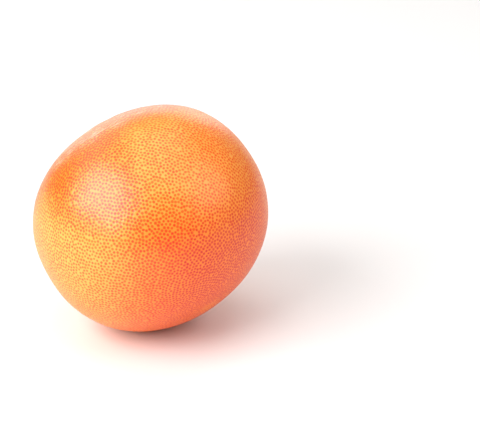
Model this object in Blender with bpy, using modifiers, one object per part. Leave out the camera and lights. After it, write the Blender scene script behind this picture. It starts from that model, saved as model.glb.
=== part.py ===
"""A whole grapefruit lying on its side, as one solid, in metres with +Z up.

The fruit is turned about its own axis, from the stem end to the blossom end, and then
tipped over. The origin is the middle of the small flat spot that it rests on.
"""

import math

import bmesh
import bpy
from mathutils import Euler, Vector

# The body, measured in its own frame, where the axis is upright and the stem end is on top.
EQUATOR_DIAMETER = 0.100
POLE_HEIGHT = 0.0900
STEM_FULLNESS = 2.29  # exponent of the stem half's meridian, where 2 is an ellipse
BLOSSOM_FULLNESS = 2.12
SWELL = 0.00025  # how far the cheeks stand out of round
CHEEKS = 3

# The stem end: a shallow hollow, furrows that run out of it, and the dry button.
HOLLOW_DIAMETER = 0.026
HOLLOW_DEPTH = 0.0020
FURROWS = 9
FURROW_DEPTH = 0.0005
FURROW_REACH = 0.033  # distance from the axis at which they have died away
BUTTON_DIAMETER = 0.0075
BUTTON_HEIGHT = 0.0012
BUTTON_EDGE = 0.0004  # width and height of the button's chamfered edge

# The blossom end: a slight dent with the scar that the flower's style left.
DENT_DIAMETER = 0.009
DENT_DEPTH = 0.0005

# How it lies.
LEAN = math.radians(49.0)  # of the stem end from upright
HEADING = math.radians(134.8)  # that the stem end leans towards, from +X about +Z
PRESSED_FLAT = 0.00085  # depth of rind that the resting spot takes off, right under the middle

# How finely the solid is faceted.
SECTORS = 72
HOLLOW_RINGS = 8
STEM_RINGS = 15
BLOSSOM_RINGS = 18
DENT_RINGS = 4

RIND_COLOUR = (0.90, 0.32, 0.07, 1.0)
RIND_ROUGHNESS = 0.42

EQUATOR_RADIUS = EQUATOR_DIAMETER / 2
HALF_HEIGHT = POLE_HEIGHT / 2
BUTTON_RADIUS = BUTTON_DIAMETER / 2
WELD = 1e-6


def clear_scene():
    for thing in list(bpy.data.objects):
        bpy.data.objects.remove(thing, do_unlink=True)


def new_collection(name):
    collection = bpy.data.collections.new(name)
    bpy.context.scene.collection.children.link(collection)
    return collection


def rind_material():
    material = bpy.data.materials.new("rind")
    material.use_nodes = True
    shader = material.node_tree.nodes["Principled BSDF"]
    shader.inputs["Base Color"].default_value = RIND_COLOUR
    shader.inputs["Roughness"].default_value = RIND_ROUGHNESS
    shader.inputs["Metallic"].default_value = 0.0
    return material


def dish(radius, rim_radius):
    """1 on the axis, falling smoothly to 0 at rim_radius and beyond."""
    share = min(radius / rim_radius, 1)
    return (1 - share**2) ** 2


def half_height(radius, fullness):
    """Height of the plain body's surface over the equator, at this distance from the axis."""
    return HALF_HEIGHT * (1 - (radius / EQUATOR_RADIUS) ** fullness) ** (1 / fullness)


def stem_height(radius):
    return half_height(radius, STEM_FULLNESS) - HOLLOW_DEPTH * dish(radius, HOLLOW_DIAMETER / 2)


def blossom_height(radius):
    return DENT_DEPTH * dish(radius, DENT_DIAMETER / 2) - half_height(radius, BLOSSOM_FULLNESS)


def button_points():
    top = stem_height(BUTTON_RADIUS) + BUTTON_HEIGHT
    return [
        (0, top),
        (BUTTON_RADIUS - BUTTON_EDGE, top),
        (BUTTON_RADIUS, top - BUTTON_EDGE),
    ]


def ring_radii(fullness, inner_radius, rings):
    """Radii from inner_radius out to the equator, closer together towards the equator."""
    start = math.asin((inner_radius / EQUATOR_RADIUS) ** (fullness / 2))
    for i in range(rings + 1):
        angle = start + (math.pi / 2 - start) * i / rings
        yield EQUATOR_RADIUS * min(math.sin(angle), 1) ** (2 / fullness)


def meridian():
    """(distance from the axis, height over the equator), from the button's middle down the outer side."""
    hollow_radius = HOLLOW_DIAMETER / 2
    dent_radius = DENT_DIAMETER / 2
    points = button_points()
    for i in range(HOLLOW_RINGS):
        radius = BUTTON_RADIUS + (hollow_radius - BUTTON_RADIUS) * i / HOLLOW_RINGS
        points.append((radius, stem_height(radius)))
    for radius in ring_radii(STEM_FULLNESS, hollow_radius, STEM_RINGS):
        points.append((radius, stem_height(radius)))
    below = list(ring_radii(BLOSSOM_FULLNESS, dent_radius, BLOSSOM_RINGS))
    for radius in reversed(below[:-1]):
        points.append((radius, blossom_height(radius)))
    for i in reversed(range(DENT_RINGS)):
        radius = dent_radius * i / DENT_RINGS
        points.append((radius, blossom_height(radius)))
    return points


def turned_mesh(points):
    """The closed mesh that a meridian sweeps in one turn."""
    profile = bpy.data.meshes.new("meridian")
    edges = [(i, i + 1) for i in range(len(points) - 1)]
    profile.from_pydata([(x, 0, z) for x, z in points], edges, [])
    lathe = bpy.data.objects.new("lathe", profile)
    bpy.context.scene.collection.objects.link(lathe)
    screw = lathe.modifiers.new("turn", "SCREW")
    screw.axis = "Z"
    screw.angle = 2 * math.pi
    screw.steps = SECTORS
    screw.render_steps = SECTORS
    screw.use_merge_vertices = True
    screw.merge_threshold = WELD
    bpy.context.view_layer.update()
    mesh = bpy.data.meshes.new_from_object(lathe.evaluated_get(bpy.context.evaluated_depsgraph_get()))
    bpy.data.objects.remove(lathe, do_unlink=True)
    return mesh


def furrow_depth(radius, turn):
    """Depth of the furrows at this distance from the axis and angle about it."""
    if not BUTTON_RADIUS < radius < FURROW_REACH:
        return 0
    along = (radius - BUTTON_RADIUS) / (FURROW_REACH - BUTTON_RADIUS)
    fade = math.sin(math.pi * math.sqrt(along)) ** 2
    groove = (0.5 + 0.5 * math.cos(FURROWS * turn + 0.9 * math.sin(2 * turn))) ** 2
    uneven = 0.7 + 0.3 * math.sin(2 * turn + 0.6)
    return FURROW_DEPTH * fade * groove * uneven


def grow_uneven(mesh):
    """Cuts the furrows into the stem end and swells the cheeks between the poles."""
    for vertex in mesh.vertices:
        x, y, height = vertex.co
        radius = math.hypot(x, y)
        turn = math.atan2(y, x)
        cheek = SWELL * (radius / EQUATOR_RADIUS) ** 2 * math.cos(CHEEKS * turn + 0.5)
        if radius > 0:
            vertex.co.x += cheek * x / radius
            vertex.co.y += cheek * y / radius
        if height > 0:
            vertex.co.z -= furrow_depth(radius, turn)


def lowest_point():
    """The point of the plain body that comes lowest once it leans, in the body's own frame."""
    across = EQUATOR_RADIUS * math.sin(LEAN)
    along = HALF_HEIGHT * math.cos(LEAN)
    power = BLOSSOM_FULLNESS / (BLOSSOM_FULLNESS - 1)
    reach = (across**power + along**power) ** (1 / BLOSSOM_FULLNESS)
    radius = EQUATOR_RADIUS * across ** (power - 1) / reach
    depth = HALF_HEIGHT * along ** (power - 1) / reach
    return Vector((radius, 0, -depth))


def rest_depth():
    """Depth under the body's middle of the plane that it rests on."""
    across = math.sin(LEAN) / EQUATOR_RADIUS
    along = math.cos(LEAN) / HALF_HEIGHT
    reach = (across**BLOSSOM_FULLNESS + along**BLOSSOM_FULLNESS) ** (-1 / BLOSSOM_FULLNESS)
    return reach - PRESSED_FLAT


def floor_cutter(collection):
    """A block whose top is the plane that the fruit rests on."""
    side = 2 * max(EQUATOR_DIAMETER, POLE_HEIGHT)
    mesh = bpy.data.meshes.new("floor_cutter")
    block = bmesh.new()
    bmesh.ops.create_cube(block, size=side)
    bmesh.ops.translate(block, vec=(0, 0, -side / 2), verts=block.verts)
    block.to_mesh(mesh)
    block.free()
    cutter = bpy.data.objects.new("floor_cutter", mesh)
    cutter.hide_render = True
    cutter.display_type = "WIRE"
    collection.objects.link(cutter)
    return cutter


def make_grapefruit(collection, cutter):
    mesh = turned_mesh(meridian())
    grow_uneven(mesh)
    mesh.name = "grapefruit"
    mesh.materials.append(rind_material())
    mesh.shade_smooth()
    mesh.set_sharp_from_angle(angle=math.radians(40))
    fruit = bpy.data.objects.new("grapefruit", mesh)
    lie = Euler((0, LEAN, HEADING), "XYZ")
    fruit.rotation_euler = lie
    fruit.location = -(lie.to_matrix() @ lowest_point())
    fruit.location.z = rest_depth()
    collection.objects.link(fruit)
    cut = fruit.modifiers.new("resting_spot", "BOOLEAN")
    cut.operation = "DIFFERENCE"
    cut.solver = "EXACT"
    cut.object = cutter
    return fruit


def main():
    clear_scene()
    cutter = floor_cutter(new_collection("cutters"))
    make_grapefruit(new_collection("grapefruit_whole"), cutter)


main()
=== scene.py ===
"""The looks of a whole grapefruit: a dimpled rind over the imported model, a dry button, a floor and lights."""

import math

import bmesh
import bpy
import numpy as np
from mathutils import Euler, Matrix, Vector, noise
from mathutils.bvhtree import BVHTree
from mathutils.geometry import delaunay_2d_cdt
from mathutils.kdtree import KDTree


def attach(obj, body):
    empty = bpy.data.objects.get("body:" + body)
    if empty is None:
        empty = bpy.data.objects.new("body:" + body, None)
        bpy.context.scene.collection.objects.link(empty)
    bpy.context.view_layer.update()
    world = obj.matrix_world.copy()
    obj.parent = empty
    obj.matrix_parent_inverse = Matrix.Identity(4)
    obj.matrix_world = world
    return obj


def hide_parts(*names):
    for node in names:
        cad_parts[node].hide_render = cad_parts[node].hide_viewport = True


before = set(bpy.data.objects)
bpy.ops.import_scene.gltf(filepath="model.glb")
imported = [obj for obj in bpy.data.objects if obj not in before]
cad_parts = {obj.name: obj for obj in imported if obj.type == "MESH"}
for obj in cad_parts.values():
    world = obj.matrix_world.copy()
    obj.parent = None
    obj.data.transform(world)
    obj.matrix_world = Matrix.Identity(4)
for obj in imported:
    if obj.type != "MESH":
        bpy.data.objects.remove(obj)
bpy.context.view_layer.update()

SEED = 7

# How the fruit lies, as in the model: the stem end's lean from upright and the heading of that lean.
LEAN = math.radians(49.0)
HEADING = math.radians(134.8)
LIE = np.array(Euler((0, LEAN, HEADING), "XYZ").to_matrix())

# The oil glands, in metres.
GLAND_SPACING = 0.00158
GLAND_RADIUS = 0.00079  # of the coloured spot
PIT_RADIUS = 0.00050
PIT_DEPTH = 0.00020
RIM_DROP = 0.3  # of the pit's depth, at its rim
RIM_SIDES = 6
GLAND_SHAKE = 0.26  # of the spacing, before the glands are pushed apart
PUSHES = 6
PUSH_SHARE = 0.35  # of the way to the full spacing, in one push
PUSH_NEIGHBOURS = 8

# The rest of the rind, in metres.
UNEVENNESS = 0.00012  # height of the slow swells
UNEVENNESS_LENGTH = 0.011
MIDDLING_RADIUS = 0.05  # of the fruit, on which the swells are laid out
WRINKLE_DEPTH = 0.00003  # of the fine wrinkles that lie in rings round the stem end
WRINKLE_GAP = 0.045  # radians from one wrinkle to the next
SCAR_RADIUS = 0.0019  # of the low bump at the blossom end
SCAR_HEIGHT = 0.00025
BAKE_MARGIN = 0.94  # share of its tile that each side of the texture cube fills

# The dry button at the stem end, in metres.
BUTTON_RADIUS = 0.00375
BUTTON_HEIGHT = 0.0012
BUTTON_SINK = 0.3 * BUTTON_HEIGHT  # depth of its underside below the rind
BUTTON_LOBES = 5
BUTTON_SECTORS = 60
BUTTON_RINGS = 12
SEAT_MARGIN = 0.0008  # of level rind round it

# The view.
VIEW_RISE = math.radians(25.0)  # the camera's elevation over the floor
CAMERA_DISTANCE = 1.2
VIEW_WIDTH = 0.2031  # width of the picture at the fruit
AIM_RIGHT = 0.0377  # the fruit lies this far left of the picture's middle
AIM_DOWN = 0.0013
SENSOR_WIDTH = 0.036


def unit(rows):
    return rows / np.linalg.norm(rows, axis=-1, keepdims=True)


def smoothstep(low, high, x):
    t = np.clip((x - low) / (high - low), 0, 1)
    return t * t * (3 - 2 * t)


# ---- the model's surface -------------------------------------------------------------------------


def vertices_of(mesh):
    places = np.empty(len(mesh.vertices) * 3, np.float32)
    mesh.vertices.foreach_get("co", places)
    return places.reshape(-1, 3).astype(float)


def solid_facts(mesh):
    """(surface area, centre of volume) of a closed triangle mesh."""
    mesh.calc_loop_triangles()
    corners = vertices_of(mesh)[[list(t.vertices) for t in mesh.loop_triangles]]
    a, b, c = corners[:, 0], corners[:, 1], corners[:, 2]
    area = np.linalg.norm(np.cross(b - a, c - a), axis=1).sum() / 2
    volumes = (a * np.cross(b, c)).sum(1) / 6
    centre = (corners.sum(1) / 4 * volumes[:, None]).sum(0) / volumes.sum()
    return area, centre


def rounded_tree(node):
    """A search tree of a CAD node's surface, subdivided so that its facets are rounded off."""
    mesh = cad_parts[node].data.copy()
    work = bmesh.new()
    work.from_mesh(mesh)
    bmesh.ops.remove_doubles(work, verts=work.verts, dist=1e-6)
    bmesh.ops.join_triangles(
        work,
        faces=work.faces,
        angle_face_threshold=math.radians(8),
        angle_shape_threshold=math.radians(40),
    )
    work.to_mesh(mesh)
    work.free()
    piece = bpy.data.objects.new("rounded", mesh)
    bpy.context.scene.collection.objects.link(piece)
    subdivision = piece.modifiers.new("round", "SUBSURF")
    subdivision.levels = 2
    subdivision.render_levels = 2
    bpy.context.view_layer.update()
    tree = BVHTree.FromObject(piece, bpy.context.evaluated_depsgraph_get())
    bpy.data.objects.remove(piece)
    return tree


class Body:
    """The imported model's surface, as a distance from its centre along the fruit's own directions."""

    def __init__(self, node):
        self.area, self.centre = solid_facts(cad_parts[node].data)
        self.tree = rounded_tree(node)

    def radii(self, directions):
        start = Vector(self.centre)
        return np.array([self.tree.ray_cast(start, Vector(d))[3] for d in directions @ LIE.T])

    def seat_height(self):
        """Height of the rind round the stem button over the fruit's centre, along its own axis."""
        turn = np.linspace(0, 2 * math.pi, 24, endpoint=False)
        across = BUTTON_RADIUS + 1.5 * SEAT_MARGIN
        up = self.radii(np.array([[0.0, 0.0, 1.0]]))[0]
        ring = unit(np.column_stack([across * np.cos(turn), across * np.sin(turn), np.full(24, up)]))
        return float(np.mean(self.radii(ring) * ring[:, 2]))

    def world(self, places):
        """From the fruit's own frame to the scene's."""
        return self.centre + places @ LIE.T


# ---- glands and the mesh around them ---------------------------------------------------------------


def spread_directions(count, rng):
    """Unit directions spread evenly along a spiral and then shaken, and their even spacing."""
    step = np.arange(count) + 0.5
    height = 1 - 2 * step / count
    ring = np.sqrt(1 - height**2)
    turn = step * math.pi * (3 - math.sqrt(5))
    points = np.stack([ring * np.cos(turn), ring * np.sin(turn), height], 1)
    spacing = math.sqrt(4 * math.pi / (count * math.sqrt(0.75)))
    return unit(points + rng.normal(0, GLAND_SHAKE * spacing, points.shape)), spacing


def pushed_apart(points, spacing):
    """The same unit vectors after those closer than the spacing have pushed each other away."""
    for _ in range(PUSHES):
        tree = KDTree(len(points))
        for i, point in enumerate(points):
            tree.insert(point, i)
        tree.balance()
        push = np.zeros_like(points)
        for i, point in enumerate(points):
            for _, j, gap in tree.find_n(point, PUSH_NEIGHBOURS):
                if 0 < gap < spacing:
                    push[i] += (point - points[j]) * (spacing / gap - 1)
        points = unit(points + PUSH_SHARE * push)
    return points


def sphere_triangles(points, pole):
    """Delaunay triangles of unit vectors, found in the plane by projecting from the point numbered pole."""
    turn = Vector(points[pole]).rotation_difference(Vector((0, 0, 1))).to_matrix()
    turned = points @ np.array(turn).T
    rest = np.delete(np.arange(len(points)), pole)
    flat = turned[rest, :2] / (1 - turned[rest, 2:])
    found = delaunay_2d_cdt([Vector(p) for p in flat], [], [], 0, 1e-9)
    source = np.array([group[0] for group in found[3]])
    triangles = rest[source[np.array(found[2])]]
    sides = np.concatenate([triangles[:, [0, 1]], triangles[:, [1, 2]], triangles[:, [2, 0]]])
    keys = sides.min(1) * len(points) + sides.max(1)
    _, first, uses = np.unique(keys, return_index=True, return_counts=True)
    rim = sides[first[uses == 1]]
    triangles = np.concatenate([triangles, np.column_stack([rim, np.full(len(rim), pole)])])
    a, b, c = (points[triangles[:, k]] for k in range(3))
    inward = (np.cross(b - a, c - a) * (a + b + c)).sum(1) < 0
    triangles[inward] = triangles[inward][:, ::-1]
    return triangles


def tangents(points):
    """Two unit vectors square to each unit vector and to each other."""
    helper = np.where(np.abs(points[:, 2:]) < 0.9, [[0.0, 0.0, 1.0]], [[1.0, 0.0, 0.0]])
    first = unit(np.cross(points, helper))
    return first, np.cross(points, first)


class Glands:
    """Oil glands over the whole rind: directions, sizes, depths and how strong their colour is."""

    def __init__(self, body, rng):
        count = int(body.area / (GLAND_SPACING**2 * math.sqrt(0.75)))
        points, spacing = spread_directions(count, rng)
        self.points = pushed_apart(points, spacing)
        self.reach = body.radii(self.points)
        self.scale = rng.uniform(0.85, 1.1, count)
        off_axis = np.linalg.norm(self.points[:, :2], axis=1) * self.reach
        stem_end = self.points[:, 2] > 0
        bare = np.where(stem_end, BUTTON_RADIUS + SEAT_MARGIN, SCAR_RADIUS + 0.0004)
        grown = smoothstep(0, 0.004, off_axis - bare)
        self.scale *= 0.55 + 0.45 * grown
        self.depth = PIT_DEPTH * rng.uniform(0.6, 1.2, count) * smoothstep(-0.0008, 0.001, off_axis - bare)
        self.tone = rng.uniform(0.6, 1, count) * smoothstep(-0.0008, 0.0006, off_axis - bare)

    def rims(self, rng):
        """Directions round the edge of each gland."""
        first, second = tangents(self.points)
        start = rng.uniform(0, 2 * math.pi, len(self.points))
        spread = PIT_RADIUS * self.scale / self.reach
        rings = []
        for k in range(RIM_SIDES):
            turn = start + 2 * math.pi * k / RIM_SIDES
            side = np.cos(turn)[:, None] * first + np.sin(turn)[:, None] * second
            rings.append(unit(self.points + spread[:, None] * side))
        return np.concatenate(rings)


def slow_noise(places, length, seed):
    """Smooth noise from -1 to 1 whose swells are about that length across."""
    offset = Vector((seed, seed * 1.7, -seed))
    return np.array([noise.noise(Vector(p) / length + offset) for p in places])


def wrinkles(directions):
    """Depth of the fine wrinkles that lie in rings round the stem end."""
    around = unit(directions[:, :2] + 1e-12)
    tilt = np.arccos(np.clip(directions[:, 2], -1, 1))
    ripple = slow_noise(np.column_stack([1.3 * around, tilt / WRINKLE_GAP]), 1.0, 9.0)
    return WRINKLE_DEPTH * ripple * smoothstep(0.2, 0.35, tilt) * smoothstep(1.0, 0.7, tilt)


def rind_shape(body, seat_height, glands, rng):
    """(vertices in the fruit's frame, triangles, each triangle's two nearest glands) of the dimpled rind."""
    directions = np.concatenate([glands.points, glands.rims(rng)])
    triangles = sphere_triangles(directions, 0)
    reach = body.radii(directions)
    off_axis = np.linalg.norm(directions[:, :2], axis=1) * reach
    seat = (directions[:, 2] > 0) & (off_axis < BUTTON_RADIUS + SEAT_MARGIN)
    reach[seat] = seat_height / directions[seat, 2]
    reach += UNEVENNESS * slow_noise(directions * MIDDLING_RADIUS, UNEVENNESS_LENGTH, 3.0)
    reach -= wrinkles(directions)
    scar = (directions[:, 2] < 0) * smoothstep(SCAR_RADIUS, 0.6 * SCAR_RADIUS, off_axis)
    reach += SCAR_HEIGHT * scar
    reach -= np.concatenate([glands.depth, np.tile(RIM_DROP * glands.depth, RIM_SIDES)])
    tree = KDTree(len(glands.points))
    for i, point in enumerate(glands.points):
        tree.insert(point, i)
    tree.balance()
    middles = unit(directions[triangles].sum(1))
    owners = np.array([[found[1] for found in tree.find_n(m, 2)] for m in middles])
    return directions * reach[:, None], triangles, owners


# ---- the rind's mesh -------------------------------------------------------------------------------


def cube_map(places, triangles):
    """A texture place for each corner: the six sides of a cube around the fruit, in a 3 by 2 layout."""
    corners = unit(places)[triangles]
    middle = corners.sum(1)
    axis = np.abs(middle).argmax(1)
    row = np.arange(len(triangles))
    sign = np.sign(middle[row, axis])
    across, along = (axis + 1) % 3, (axis + 2) % 3
    main = corners[row, :, axis] * sign[:, None]
    u = np.arctan2(corners[row, :, across], main) / (math.pi / 2)
    v = np.arctan2(corners[row, :, along], main) / (math.pi / 2)
    u *= sign[:, None]
    u = (axis[:, None] + 0.5 + BAKE_MARGIN * u) / 3
    v = ((sign[:, None] > 0) + 0.5 + BAKE_MARGIN * v) / 2
    return np.stack([u, v], 2)


def make_rind(body, rng):
    """The rind's mesh, with the attributes that its material paints the glands from."""
    glands = Glands(body, rng)
    places, triangles, owners = rind_shape(body, body.seat_height(), glands, rng)
    world = body.world(places)
    world[:, 2] = np.maximum(world[:, 2], 0)
    mesh = bpy.data.meshes.new("rind")
    mesh.from_pydata(world, [], triangles)
    mesh.shade_smooth()
    layer = mesh.uv_layers.new(name="OFBake")
    layer.data.foreach_set("uv", cube_map(places, triangles).ravel())
    centres = glands.points * glands.reach[:, None]
    radii = GLAND_RADIUS * glands.scale
    for order, owner in enumerate(owners.T):
        away = (places[triangles] - centres[owner][:, None]) / radii[owner][:, None, None]
        reach = mesh.attributes.new(f"gland_{order}", "FLOAT_VECTOR", "CORNER")
        reach.data.foreach_set("vector", away.astype(np.float32).ravel())
    tone = mesh.attributes.new("tone", "FLOAT", "FACE")
    tone.data.foreach_set("value", glands.tone[owners[:, 0]].astype(np.float32))
    own = mesh.attributes.new("own_place", "FLOAT_VECTOR", "POINT")
    own.data.foreach_set("vector", places.astype(np.float32).ravel())
    piece = bpy.data.objects.new("rind", mesh)
    bpy.context.scene.collection.objects.link(piece)
    return piece


def make_button(body, rng):
    """The dry calyx: five blunt lobes round the hollow end of the broken stem."""
    seat = body.seat_height()
    turn = np.linspace(0, 2 * math.pi, BUTTON_SECTORS, endpoint=False)
    outline = BUTTON_RADIUS * (0.74 + 0.24 * np.abs(np.cos(BUTTON_LOBES / 2 * turn)) ** 0.7)
    rings = []
    for share in np.linspace(0.02, 1, BUTTON_RINGS):
        dome = 1 - 0.55 * smoothstep(0.35, 1, share)
        pit = 0.35 * smoothstep(0.30, 0.12, share)
        ribs = 0.10 * share * np.cos(2 * BUTTON_LOBES * turn) + 0.05 * rng.uniform(-1, 1, BUTTON_SECTORS)
        height = seat + 0.85 * BUTTON_HEIGHT * (dome - pit + ribs)
        across = share * outline
        rings.append(np.column_stack([across * np.cos(turn), across * np.sin(turn), height]))
    low = rings[-1].copy()
    low[:, 2] = seat - BUTTON_SINK
    rings.append(low)
    ends = [[0, 0, rings[0][:, 2].mean()], [0, 0, seat - BUTTON_SINK]]
    places = np.concatenate([*rings, ends])
    top, bottom, under = len(places) - 2, len(places) - 1, (len(rings) - 1) * BUTTON_SECTORS
    faces = []
    for i in range(BUTTON_SECTORS):
        j = (i + 1) % BUTTON_SECTORS
        faces.append((top, i, j))
        faces.append((bottom, under + j, under + i))
        for k in range(len(rings) - 1):
            here, there = k * BUTTON_SECTORS, (k + 1) * BUTTON_SECTORS
            faces.append((here + i, there + i, there + j, here + j))
    mesh = bpy.data.meshes.new("stem_button")
    mesh.from_pydata(body.world(places), [], faces)
    mesh.shade_smooth()
    piece = bpy.data.objects.new("stem_button", mesh)
    bpy.context.scene.collection.objects.link(piece)
    return piece


# ---- materials -------------------------------------------------------------------------------------


class Nodes:
    """Short ways to add and join the nodes of one material."""

    def __init__(self, material):
        material.use_nodes = True
        self.tree = material.node_tree
        self.shader = self.tree.nodes["Principled BSDF"]

    def add(self, kind, inputs=None, **settings):
        node = self.tree.nodes.new(kind)
        for name, value in settings.items():
            setattr(node, name, value)
        for name, value in (inputs or {}).items():
            self.put(value, node.inputs[name])
        return node

    def put(self, value, socket):
        if isinstance(value, bpy.types.NodeSocket):
            self.tree.links.new(value, socket)
        else:
            socket.default_value = value

    def math(self, operation, first, second=0.0, third=0.0):
        node = self.add("ShaderNodeMath", {0: first, 1: second, 2: third}, operation=operation)
        return node.outputs[0]

    def vector(self, operation, first, second=(0, 0, 0), output="Vector"):
        node = self.add("ShaderNodeVectorMath", {0: first, 1: second}, operation=operation)
        return node.outputs[output]

    def steps(self, value, low, high, out_low=0.0, out_high=1.0):
        """From out_low to out_high in a smooth step, as the value goes from low to high."""
        inputs = {"Value": value, "From Min": low, "From Max": high, "To Min": out_low, "To Max": out_high}
        return self.add("ShaderNodeMapRange", inputs, interpolation_type="SMOOTHSTEP").outputs["Result"]

    def mix(self, share, first, second):
        node = self.add("ShaderNodeMix", data_type="RGBA")
        self.put(share, node.inputs[0])
        self.put(first, node.inputs[6])
        self.put(second, node.inputs[7])
        return node.outputs[2]

    def attribute(self, name, output="Fac"):
        return self.add("ShaderNodeAttribute", attribute_name=name).outputs[output]

    def noise(self, place, scale, detail=2.0, roughness=0.5):
        inputs = {"Vector": place, "Scale": scale, "Detail": detail, "Roughness": roughness}
        return self.add("ShaderNodeTexNoise", inputs).outputs["Fac"]


# Rind colours, each first for its yellow parts and then for its red ones.
GLAND_COLOURS = (0.88, 0.052, 0.002, 1), (0.74, 0.003, 0.001, 1)
RIND_COLOURS = (0.98, 0.25, 0.012, 1), (0.86, 0.085, 0.001, 1)
# Paler ridges between the glands: partly a lighter rind, partly painted sheen of the ridges catching the light.
CREST_AND_SHEEN_COLOURS = (1.0, 0.365, 0.058, 1), (1.0, 0.21, 0.006, 1)
# Pale colour of the streaks: painted glints, light caught on the wrinkles round the stem end.
PAINTED_GLINT_COLOUR = (1.0, 0.52, 0.36, 1)
STREAKS_AROUND = 6.0  # fineness of the streaks' noise round the stem end
STREAKS_ALONG = 75.0  # and across the streaks
DRY_BROWN = (0.20, 0.13, 0.06, 1)
DRY_GREY = (0.42, 0.33, 0.20, 1)

# Large soft patches: direction as the fruit lies, cosines of the angles at which the patch starts
# and is full, and how much redder it makes the rind.
PATCHES = (
    ((0.664, -0.671, -0.331), 0.10, 0.88, 1.0),
    # Deeper red low on the right edge as seen from the camera: painted shade there, over the cheek's blush.
    ((0.73, -0.672, -0.139), 0.75, 0.98, 0.2),
    ((-0.50, -0.60, 0.62), 0.82, 0.98, 0.8),
    ((0.10, -0.90, 0.42), 0.90, 0.99, 0.2),
    ((-0.88, -0.34, 0.33), 0.88, 0.99, 0.2),
    ((0.47, -0.625, 0.623), 0.80, 0.98, -0.5),
    ((-0.86, -0.499, -0.076), 0.70, 0.97, -0.15),
    ((0.0, -0.905, -0.427), 0.80, 0.97, -0.1),
)


def gland_distance(n, order, wobble):
    """Distance from the nearest gland, or the next nearest, in gland radii."""
    offset = n.attribute(f"gland_{order}", "Vector")
    away = n.vector("LENGTH", offset, output="Value")
    return n.math("MULTIPLY_ADD", wobble, 0.6, away)


def redness(n, direction, height, place):
    """How red the rind is: round the stem end, in large soft patches and in small blotches; one of the patches
    is painted shade.
    """
    towards_stem = n.steps(height, 0.35, 0.75, 0.0, 1.15)
    shoulder = n.math("MULTIPLY", towards_stem, n.steps(height, 0.96, 0.80, 0.45, 1.0))
    blotches = n.math("SUBTRACT", n.noise(place, 24, 3.0), 0.5)
    total = n.math("MULTIPLY_ADD", blotches, 0.6, shoulder)
    for towards, start, full, strength in PATCHES:
        own = tuple(LIE.T @ np.array(towards))
        facing = n.vector("DOT_PRODUCT", direction, own, output="Value")
        total = n.math("ADD", total, n.math("MULTIPLY", n.steps(facing, start, full), strength))
    return n.steps(total, 0.0, 1.3)


def streaks(n, direction, height):
    """Fine streaks that lie in broken rings round the stem end: a mask for fine bumps and for pale painted
    glints, colour that stands in for light caught on the wrinkles.
    """
    around = n.vector("NORMALIZE", n.vector("MULTIPLY", direction, (1, 1, 0)))
    wide = n.vector("MULTIPLY", around, (STREAKS_AROUND, STREAKS_AROUND, STREAKS_AROUND))
    along = n.add("ShaderNodeCombineXYZ", {"Z": n.math("MULTIPLY", height, STREAKS_ALONG)}).outputs["Vector"]
    place = n.vector("ADD", wide, along)
    zone = n.math("MULTIPLY", n.steps(height, 0.60, 0.72), n.steps(height, 0.95, 0.86))
    return n.math("MULTIPLY", n.steps(n.noise(place, 1.0, 3.0), 0.50, 0.74), zone)


def rind_material():
    """Darker glands in a yellow to red rind with paler ridges, whose paleness is partly a lighter rind and
    partly painted sheen; smoother near the stem end, with streaks there that are fine bumps and painted glints.
    """
    material = bpy.data.materials.new("rind_skin")
    n = Nodes(material)
    place = n.attribute("own_place", "Vector")
    direction = n.vector("NORMALIZE", place)
    height = n.add("ShaderNodeSeparateXYZ", {0: direction}).outputs["Z"]
    wobble = n.math("SUBTRACT", n.noise(place, 1300, 3.0), 0.5)
    nearest = n.math("MINIMUM", *(gland_distance(n, order, wobble) for order in range(2)))
    plainer = n.math("MULTIPLY", n.steps(height, 0.35, 0.74), n.steps(height, 0.96, 0.82))
    clear = n.math("MULTIPLY", n.attribute("tone"), n.math("MULTIPLY_ADD", plainer, -0.75, 1.0))
    core = n.math("MULTIPLY", n.steps(nearest, 0.86, 0.26), clear)
    # Ridges far from the glands, made paler: a lighter rind with painted sheen on it.
    crest_and_sheen = n.steps(nearest, 0.66, 1.08)
    red = redness(n, direction, height, place)
    gland, flat, ridge_and_sheen = (n.mix(red, *pair) for pair in (GLAND_COLOURS, RIND_COLOURS, CREST_AND_SHEEN_COLOURS))
    colour = n.mix(core, n.mix(crest_and_sheen, flat, ridge_and_sheen), gland)
    bump_and_glint = streaks(n, direction, height)
    # Pale streaks laid over the colour: painted glints of light on the stem end's wrinkles.
    colour = n.mix(n.math("MULTIPLY", bump_and_glint, 0.6), colour, PAINTED_GLINT_COLOUR)
    n.put(colour, n.shader.inputs["Base Color"])
    n.shader.inputs["Roughness"].default_value = 0.35
    n.shader.inputs["Specular IOR Level"].default_value = 0.62
    relief = n.math("MULTIPLY_ADD", bump_and_glint, 2.0, n.noise(place, 2600, 2.0))
    bump = n.add("ShaderNodeBump", {"Strength": 0.3, "Distance": 0.00004, "Height": relief})
    n.put(bump.outputs["Normal"], n.shader.inputs["Normal"])
    return material


def button_material():
    material = bpy.data.materials.new("dry_calyx")
    n = Nodes(material)
    place = n.add("ShaderNodeTexCoord").outputs["Object"]
    grain = n.noise(place, 900, 4.0)
    n.put(n.mix(n.steps(grain, 0.35, 0.65), DRY_BROWN, DRY_GREY), n.shader.inputs["Base Color"])
    n.shader.inputs["Roughness"].default_value = 0.85
    bump = n.add("ShaderNodeBump", {"Strength": 0.5, "Distance": 0.0002, "Height": grain})
    n.put(bump.outputs["Normal"], n.shader.inputs["Normal"])
    return material


def plain_material(name, colour, roughness):
    material = bpy.data.materials.new(name)
    n = Nodes(material)
    n.shader.inputs["Base Color"].default_value = colour
    n.shader.inputs["Roughness"].default_value = roughness
    return material


# ---- floor, light and camera -----------------------------------------------------------------------

WORLD_GLOW = 0.23

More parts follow.
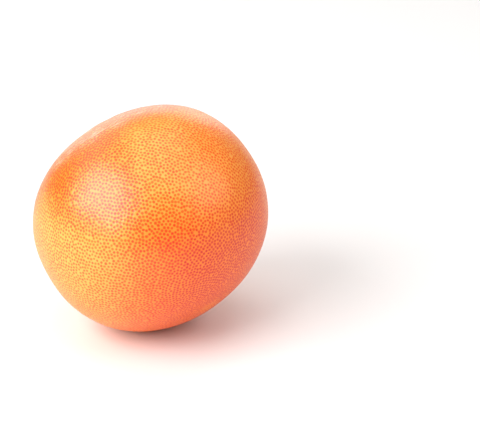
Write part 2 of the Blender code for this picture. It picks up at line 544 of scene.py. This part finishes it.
# Soft lights round the fruit: name, place from the fruit's centre, width and height in metres, and glow.
LIGHTS = (
    ("key", Vector((-0.62, -0.44, 0.53)) * 0.88, (0.78, 0.62), 6.9),
    ("top", Vector((0.1, 0.0, 1.0)) * 0.9, (1.1, 0.7), 1.5),
    ("fill", Vector((0.80, -0.22, 0.60)) * 0.85, (0.6, 0.6), 1.8),
    ("left", Vector((-0.60, 0.40, 0.66)) * 0.9, (0.7, 0.5), 1.3),
)
BACK_LIGHT = Vector((-0.15, 1.8, 0.45)), (2.0, 1.1), 2.1  # place in the scene, size and glow


def make_floor():
    bpy.ops.mesh.primitive_plane_add(size=8, location=(0, 0, -0.0002))
    floor = bpy.context.object
    floor.name = "floor"
    floor.data.materials.append(plain_material("pale_floor", (0.84, 0.82, 0.805, 1), 0.6))


def softbox(name, place, target, size, glow):
    """A rectangular light that looks glow times as bright as white paper."""
    data = bpy.data.lights.new(name, "AREA")
    data.shape = "RECTANGLE"
    data.size, data.size_y = size
    data.energy = glow * math.pi * size[0] * size[1]
    lamp = bpy.data.objects.new(name, data)
    lamp.location = place
    lamp.rotation_euler = (Vector(target) - Vector(place)).to_track_quat("-Z", "Y").to_euler()
    bpy.context.scene.collection.objects.link(lamp)


def make_light(centre):
    world = bpy.data.worlds.new("studio")
    bpy.context.scene.world = world
    world.use_nodes = True
    world.node_tree.nodes["Background"].inputs["Color"].default_value = (1, 1, 1, 1)
    world.node_tree.nodes["Background"].inputs["Strength"].default_value = WORLD_GLOW
    for name, place, size, glow in LIGHTS:
        softbox(name, Vector(centre) + place, centre, size, glow)
    place, size, glow = BACK_LIGHT
    softbox("back", place, centre, size, glow)


def make_camera(centre):
    ahead = Vector((0, math.cos(VIEW_RISE), -math.sin(VIEW_RISE)))
    up = Vector((0, math.sin(VIEW_RISE), math.cos(VIEW_RISE)))
    aim = Vector(centre) + Vector((AIM_RIGHT, 0, 0)) - AIM_DOWN * up
    data = bpy.data.cameras.new("camera")
    data.sensor_width = SENSOR_WIDTH * 1000
    data.lens = data.sensor_width * CAMERA_DISTANCE / VIEW_WIDTH
    camera = bpy.data.objects.new("camera", data)
    camera.location = aim - CAMERA_DISTANCE * ahead
    camera.rotation_euler = ahead.to_track_quat("-Z", "Y").to_euler()
    bpy.context.scene.collection.objects.link(camera)
    bpy.context.scene.camera = camera


# ---- the scene -------------------------------------------------------------------------------------


def main():
    body = Body("grapefruit")
    make_camera(body.centre)
    make_light(body.centre)
    make_floor()
    bpy.context.scene.view_settings.view_transform = "Standard"
    rng = np.random.default_rng(SEED)
    rind = make_rind(body, rng)
    rind.data.materials.append(rind_material())
    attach(rind, "root")
    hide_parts("grapefruit")
    button = make_button(body, rng)
    button.data.materials.append(button_material())
    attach(button, "root")


main()
